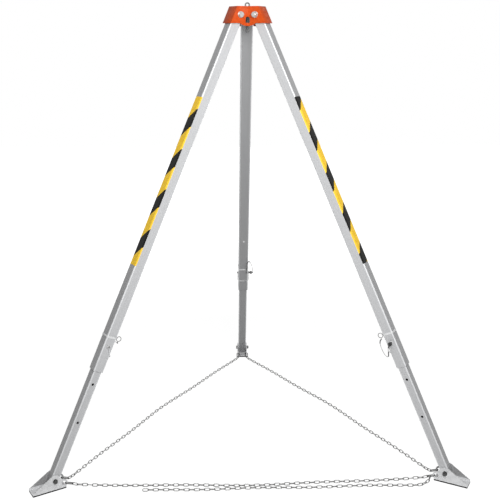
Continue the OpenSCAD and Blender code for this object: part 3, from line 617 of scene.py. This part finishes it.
def new_finish(name, metallic, specular):
    """A material with its shader and its Object coordinates."""
    material = bpy.data.materials.new(name)
    material.use_nodes = True
    tree = material.node_tree
    shader = tree.nodes["Principled BSDF"]
    shader.inputs["Metallic"].default_value = metallic
    shader.inputs["Specular IOR Level"].default_value = specular
    return material, tree, shader, add(tree, "ShaderNodeTexCoord").outputs["Object"]


def dent(tree, shader, height, strength, distance):
    """Feeds a height into the shader's normal through a bump."""
    bump = add(tree, "ShaderNodeBump")
    for title, value in {"Strength": strength, "Distance": distance, "Height": height}.items():
        feed(tree, bump.inputs[title], value)
    tree.links.new(bump.outputs["Normal"], shader.inputs["Normal"])


def mottled(name, colour, spots, scale, smooth, rough, metallic, skin_scale, skin_strength, specular):
    """Mottled colour and roughness over a pimpled skin."""
    material, tree, shader, where = new_finish(name, metallic, specular)
    made = use_group(tree, mottle, Vector=where, Scale=scale, Colour=colour, Spots=spots, Smooth=smooth,
                     Rough=rough)
    tree.links.new(made["Colour"], shader.inputs["Base Color"])
    tree.links.new(made["Roughness"], shader.inputs["Roughness"])
    pimpled = use_group(tree, skin, Vector=where, Scale=skin_scale)["Height"]
    dent(tree, shader, pimpled, skin_strength, SKIN_DEPTH)
    return material


def off_centre(tree, where, leg, row):
    """How far a place is from the leg's axis along one of its directions: |place . d - pivot . d|."""
    pivot, rows = leg_axes(leg)
    along = add(tree, "ShaderNodeVectorMath", operation="DOT_PRODUCT")
    feed(tree, along.inputs[0], where)
    along.inputs[1].default_value = rows[row]
    return calc(tree, "ABSOLUTE", calc(tree, "SUBTRACT", along.outputs["Value"], float(pivot @ rows[row])))


def drawn_aluminium(name, leg):
    """Aluminium with lines along a leg: coordinates turned by the leg's own directions. The lean of a place is
    its distance out less its distance across: low on the two sides, high on the outward and inward faces, which
    get a painted shade, and between them on the rounded corners, which get a painted highlight."""
    material, tree, shader, where = new_finish(name, TUBE_METALLIC, SPECULAR)
    turn = add(tree, "ShaderNodeMapping")
    turn.inputs["Rotation"].default_value = Matrix(leg_axes(leg)[1].tolist()).to_euler()
    tree.links.new(where, turn.inputs["Vector"])
    in_leg = turn.outputs["Vector"]
    made = use_group(tree, lines, Vector=in_leg, Fineness=LINE_FINENESS, Colour=TUBE_COLOUR, Line=TUBE_LINE)
    cloud = use_group(tree, mottle, Vector=in_leg, Scale=TUBE_CLOUD, Smooth=TUBE_SMOOTH, Rough=TUBE_ROUGH)
    # Painted light: the base colour is darkened on the outward and inward faces (painted shade) and lightened on
    # the rounded corners (painted highlight).
    lean = calc(tree, "SUBTRACT", off_centre(tree, where, leg, OUT), off_centre(tree, where, leg, ACROSS))
    shade_and_highlight = add(tree, "ShaderNodeMix", data_type="FLOAT")
    feed(tree, shade_and_highlight.inputs[0], ramp(tree, lean, FACE_START, FACE_MIXED))
    feed(tree, shade_and_highlight.inputs[2], ramp(tree, lean, HIGHLIGHT_START, HIGHLIGHT_FULL, 1.0, CORNER_PAINTED_HIGHLIGHT))
    feed(tree, shade_and_highlight.inputs[3], ramp(tree, lean, FACE_START, FACE_FULL, 1.0, FACE_PAINTED_SHADE))
    shaded_lit_colour = add(tree, "ShaderNodeVectorMath", operation="SCALE")
    tree.links.new(made["Colour"], shaded_lit_colour.inputs[0])
    tree.links.new(shade_and_highlight.outputs[0], shaded_lit_colour.inputs["Scale"])
    tree.links.new(shaded_lit_colour.outputs["Vector"], shader.inputs["Base Color"])
    tree.links.new(cloud["Roughness"], shader.inputs["Roughness"])
    dent(tree, shader, made["Height"], LINE_BUMP, LINE_DEPTH)
    return material


def bent_plate(name, leg):
    """Foot plate with a painted shade on the walls inside the channel: nearer the leg's middle plane than the
    plates' inner faces and above the channel's floor."""
    material, tree, shader, where = new_finish(name, FOOT_METALLIC, SPECULAR)
    inside = ramp(tree, off_centre(tree, where, leg, ACROSS), WALL_END, WALL_FULL)
    parts = add(tree, "ShaderNodeSeparateXYZ")
    tree.links.new(where, parts.inputs[0])
    wall_shade_mask = calc(tree, "MULTIPLY", inside, ramp(tree, parts.outputs["Z"], WALL_FOOT, WALL_FOOT + WALL_RISE))
    made = use_group(tree, mottle, Vector=where, Scale=FOOT_CLOUD, Colour=FOOT_COLOUR, Spots=FOOT_SPOTS,
                     Smooth=FOOT_SMOOTH, Rough=FOOT_ROUGH)
    # Painted shade: inside the channel the walls take half the plate's colour.
    shaded_wall_colour = tuple(WALL_PAINTED_SHADE * c for c in FOOT_COLOUR)
    tree.links.new(mixed(tree, wall_shade_mask, made["Colour"], shaded_wall_colour), shader.inputs["Base Color"])
    tree.links.new(made["Roughness"], shader.inputs["Roughness"])
    dent(tree, shader, use_group(tree, skin, Vector=where, Scale=FOOT_SKIN)["Height"], FOOT_BUMP, SKIN_DEPTH)
    return material


def striped_tape(name, period, first):
    """Stripes at 45 degrees: black where the fraction of (down + across - first) / period is below the black
    share. The sheeting throws light back to the viewer, painted here as a faint glow of the stripes' colour."""
    material, tree, shader, where = new_finish(name, 0.0, TAPE_SPECULAR)
    split = add(tree, "ShaderNodeSeparateXYZ")
    uv = add(tree, "ShaderNodeUVMap", uv_map="metres")
    tree.links.new(uv.outputs["UV"], split.inputs["Vector"])
    along = calc(tree, "ADD", split.outputs["X"], split.outputs["Y"])
    share = calc(tree, "FRACT", calc(tree, "MULTIPLY_ADD", along, 1.0 / period, 1.0 - first / period))
    edge = ramp(tree, share, TAPE_BLACK - TAPE_BLUR, TAPE_BLACK + TAPE_BLUR)
    gloss = {"Vector": where, "Scale": TAPE_CLOUD, "Smooth": TAPE_SMOOTH, "Rough": TAPE_ROUGH}
    yellow = use_group(tree, mottle, Colour=TAPE_YELLOW, Spots=YELLOW_SPOTS, **gloss)
    dark = use_group(tree, mottle, Colour=TAPE_DARK, Spots=DARK_SPOTS, **gloss)
    stripes = mixed(tree, edge, dark["Colour"], yellow["Colour"])
    tree.links.new(stripes, shader.inputs["Base Color"])
    # Painted glow: the stripes' colour is also emitted, faintly.
    tree.links.new(stripes, shader.inputs["Emission Color"])
    shader.inputs["Emission Strength"].default_value = TAPE_PAINTED_GLOW
    tree.links.new(yellow["Roughness"], shader.inputs["Roughness"])
    return material


finishes = {key: mottled(*values) for key, values in PLAIN.items()}
for leg in LEGS:
    finishes[f"{leg}_tube"] = drawn_aluminium(f"{leg}_leg_aluminium", leg)
    finishes[f"{leg}_foot"] = bent_plate(f"{leg}_foot_aluminium", leg)
    finishes[f"{leg}_tape"] = striped_tape(f"{leg}_tape_stripes", TAPE_PERIOD[leg], TAPE_FIRST[leg])
print("finishes:", len(finishes))

# %% [markdown]
# ## Finishes on pieces
# Every solid gets the finish of its kind. The tubes and feet of each leg have their own, because their patterns
# follow that leg's directions.

# %% Put the finishes on
NODE_FINISH = {"outer_tube": "tube", "inner_tube": "tube", "pivot_bushes": "nylon", "guide_liner": "liner",
               "strap_band": "bright", "band_ring": "steel", "pin_guide": "chain", "bracket_screw": "bright",
               "lanyard": "rope", "lock_pin": "pin", "pin_bail": "bright", "inner_glide": "nylon",
               "ankle_bushes": "nylon", "foot_bracket": "foot", "foot_sole": "rubber", "ankle_bolt": "steel",
               "heel_links": "steel", "head_casting": "head", "anchor_eye_bolt": "steel", "top_eye_nut": "steel",
               "leg_pivot_bolts": "zinc", "leg_pivot_nuts": "zinc"}


def dress(piece, finish):
    """One finish on the whole piece."""
    piece.data.materials.clear()
    piece.data.materials.append(finishes[finish])


for name, node in nodes.items():
    leg, _, piece = name.partition("_")
    key = NODE_FINISH.get(piece if leg in LEGS else name, "chain")
    dress(node, f"{leg}_{key}" if key in ("tube", "foot") else key)
for piece in chains:
    dress(piece, "chain")
for leg in LEGS:
    dress(lanyards[leg], "rope")
    dress(tapes[leg], f"{leg}_tape")
for piece in sleeves:
    dress(piece, "pin")
dress(head, "head")
print("dressed:", len(nodes), "solids and", len(chains) + len(sleeves) + 2 * len(LEGS) + 1, "new pieces")

# %% [markdown]
# ## Floor and light
# The photograph is a cut-out on white. The floor and the sky are white to the camera and in reflections, and
# the light that falls on the tripod is a plain soft one: a wide lamp in front, one near the camera, a weak one
# above and a dim sky. Far from the feet the floor's own white takes over, so that no horizon shows.

# %% Floor, sky and lamps
FLOOR_HALF, FLOOR_PAINT, FLOOR_GLOW = 12.0, (0.82, 0.82, 0.82), 1.26
GLOW_NEAR, GLOW_FAR, GLOW_SHARE = 1.6, 4.0, 0.75
SKY_DIM, SKY_SEEN = 0.13, 1.0
# Lamps: place, target, size and power
LAMPS = {"front_lamp": ((0.25, -2.5, 2.7), (0, -0.3, 1.3), 1.6, 52),
         "camera_lamp": ((0.45, -4.4, 2.6), (0, -0.3, 1.0), 0.9, 48),
         "top_lamp": ((0.0, -0.6, 5.0), (0, -0.3, 1.1), 3.0, 10)}
floor_points = FLOOR_HALF * np.array([[-1, -1, 0], [1, -1, 0], [1, 1, 0], [-1, 1, 0]])
floor_mesh = bpy.data.meshes.new("floor")
floor_mesh.from_pydata(floor_points.tolist(), [], [[0, 1, 2, 3]])
floor = bpy.data.objects.new("floor", floor_mesh)
scene.collection.objects.link(floor)


def seen_directly(tree):
    """1 for rays from the camera, from gloss and through glass, otherwise 0."""
    path = add(tree, "ShaderNodeLightPath").outputs
    seen = calc(tree, "MAXIMUM", path["Is Camera Ray"], path["Is Glossy Ray"])
    return calc(tree, "MAXIMUM", seen, path["Is Transmission Ray"])


def mix_shaders(tree, share, first, second, output):
    """Ends a node tree with two shaders mixed by share."""
    mix = add(tree, "ShaderNodeMixShader")
    for socket, value in zip(mix.inputs, (share, first.outputs[0], second.outputs[0])):
        feed(tree, socket, value)
    tree.links.new(mix.outputs[0], add(tree, output).inputs["Surface"])


white = bpy.data.materials.new("floor_white")
white.use_nodes = True
tree = white.node_tree
tree.nodes.clear()
paint = add(tree, "ShaderNodeBsdfDiffuse")
feed(tree, paint.inputs["Color"], FLOOR_PAINT)
glow = add(tree, "ShaderNodeEmission")
feed(tree, glow.inputs["Strength"], FLOOR_GLOW)
far = add(tree, "ShaderNodeVectorMath", operation="LENGTH")
tree.links.new(add(tree, "ShaderNodeTexCoord").outputs["Object"], far.inputs[0])
own_white = ramp(tree, far.outputs["Value"], GLOW_NEAR, GLOW_FAR, GLOW_SHARE, 1.0)
glowing = calc(tree, "MULTIPLY", seen_directly(tree), own_white)
mix_shaders(tree, glowing, paint, glow, "ShaderNodeOutputMaterial")
floor_mesh.materials.append(white)

world = bpy.data.worlds.new("studio_sky")
scene.world = world
world.use_nodes = True
tree = world.node_tree
tree.nodes.clear()
dim, bright = add(tree, "ShaderNodeBackground"), add(tree, "ShaderNodeBackground")
feed(tree, dim.inputs["Strength"], SKY_DIM)
feed(tree, bright.inputs["Color"], (1.0, 1.0, 1.0))
feed(tree, bright.inputs["Strength"], SKY_SEEN)
mix_shaders(tree, seen_directly(tree), dim, bright, "ShaderNodeOutputWorld")


def soft_lamp(name, place, target, size, power):
    """A square lamp that faces a point."""
    lamp = bpy.data.lights.new(name, "AREA")
    lamp.size, lamp.energy = size, power
    lamp_object = bpy.data.objects.new(name, lamp)
    scene.collection.objects.link(lamp_object)
    lamp_object.location = place
    lamp_object.rotation_euler = (Vector(target) - Vector(place)).to_track_quat("-Z", "Y").to_euler()


for name, (place, target, size, power) in LAMPS.items():
    soft_lamp(name, place, target, size, power)
print("floor, sky and", len(LAMPS), "lamps")
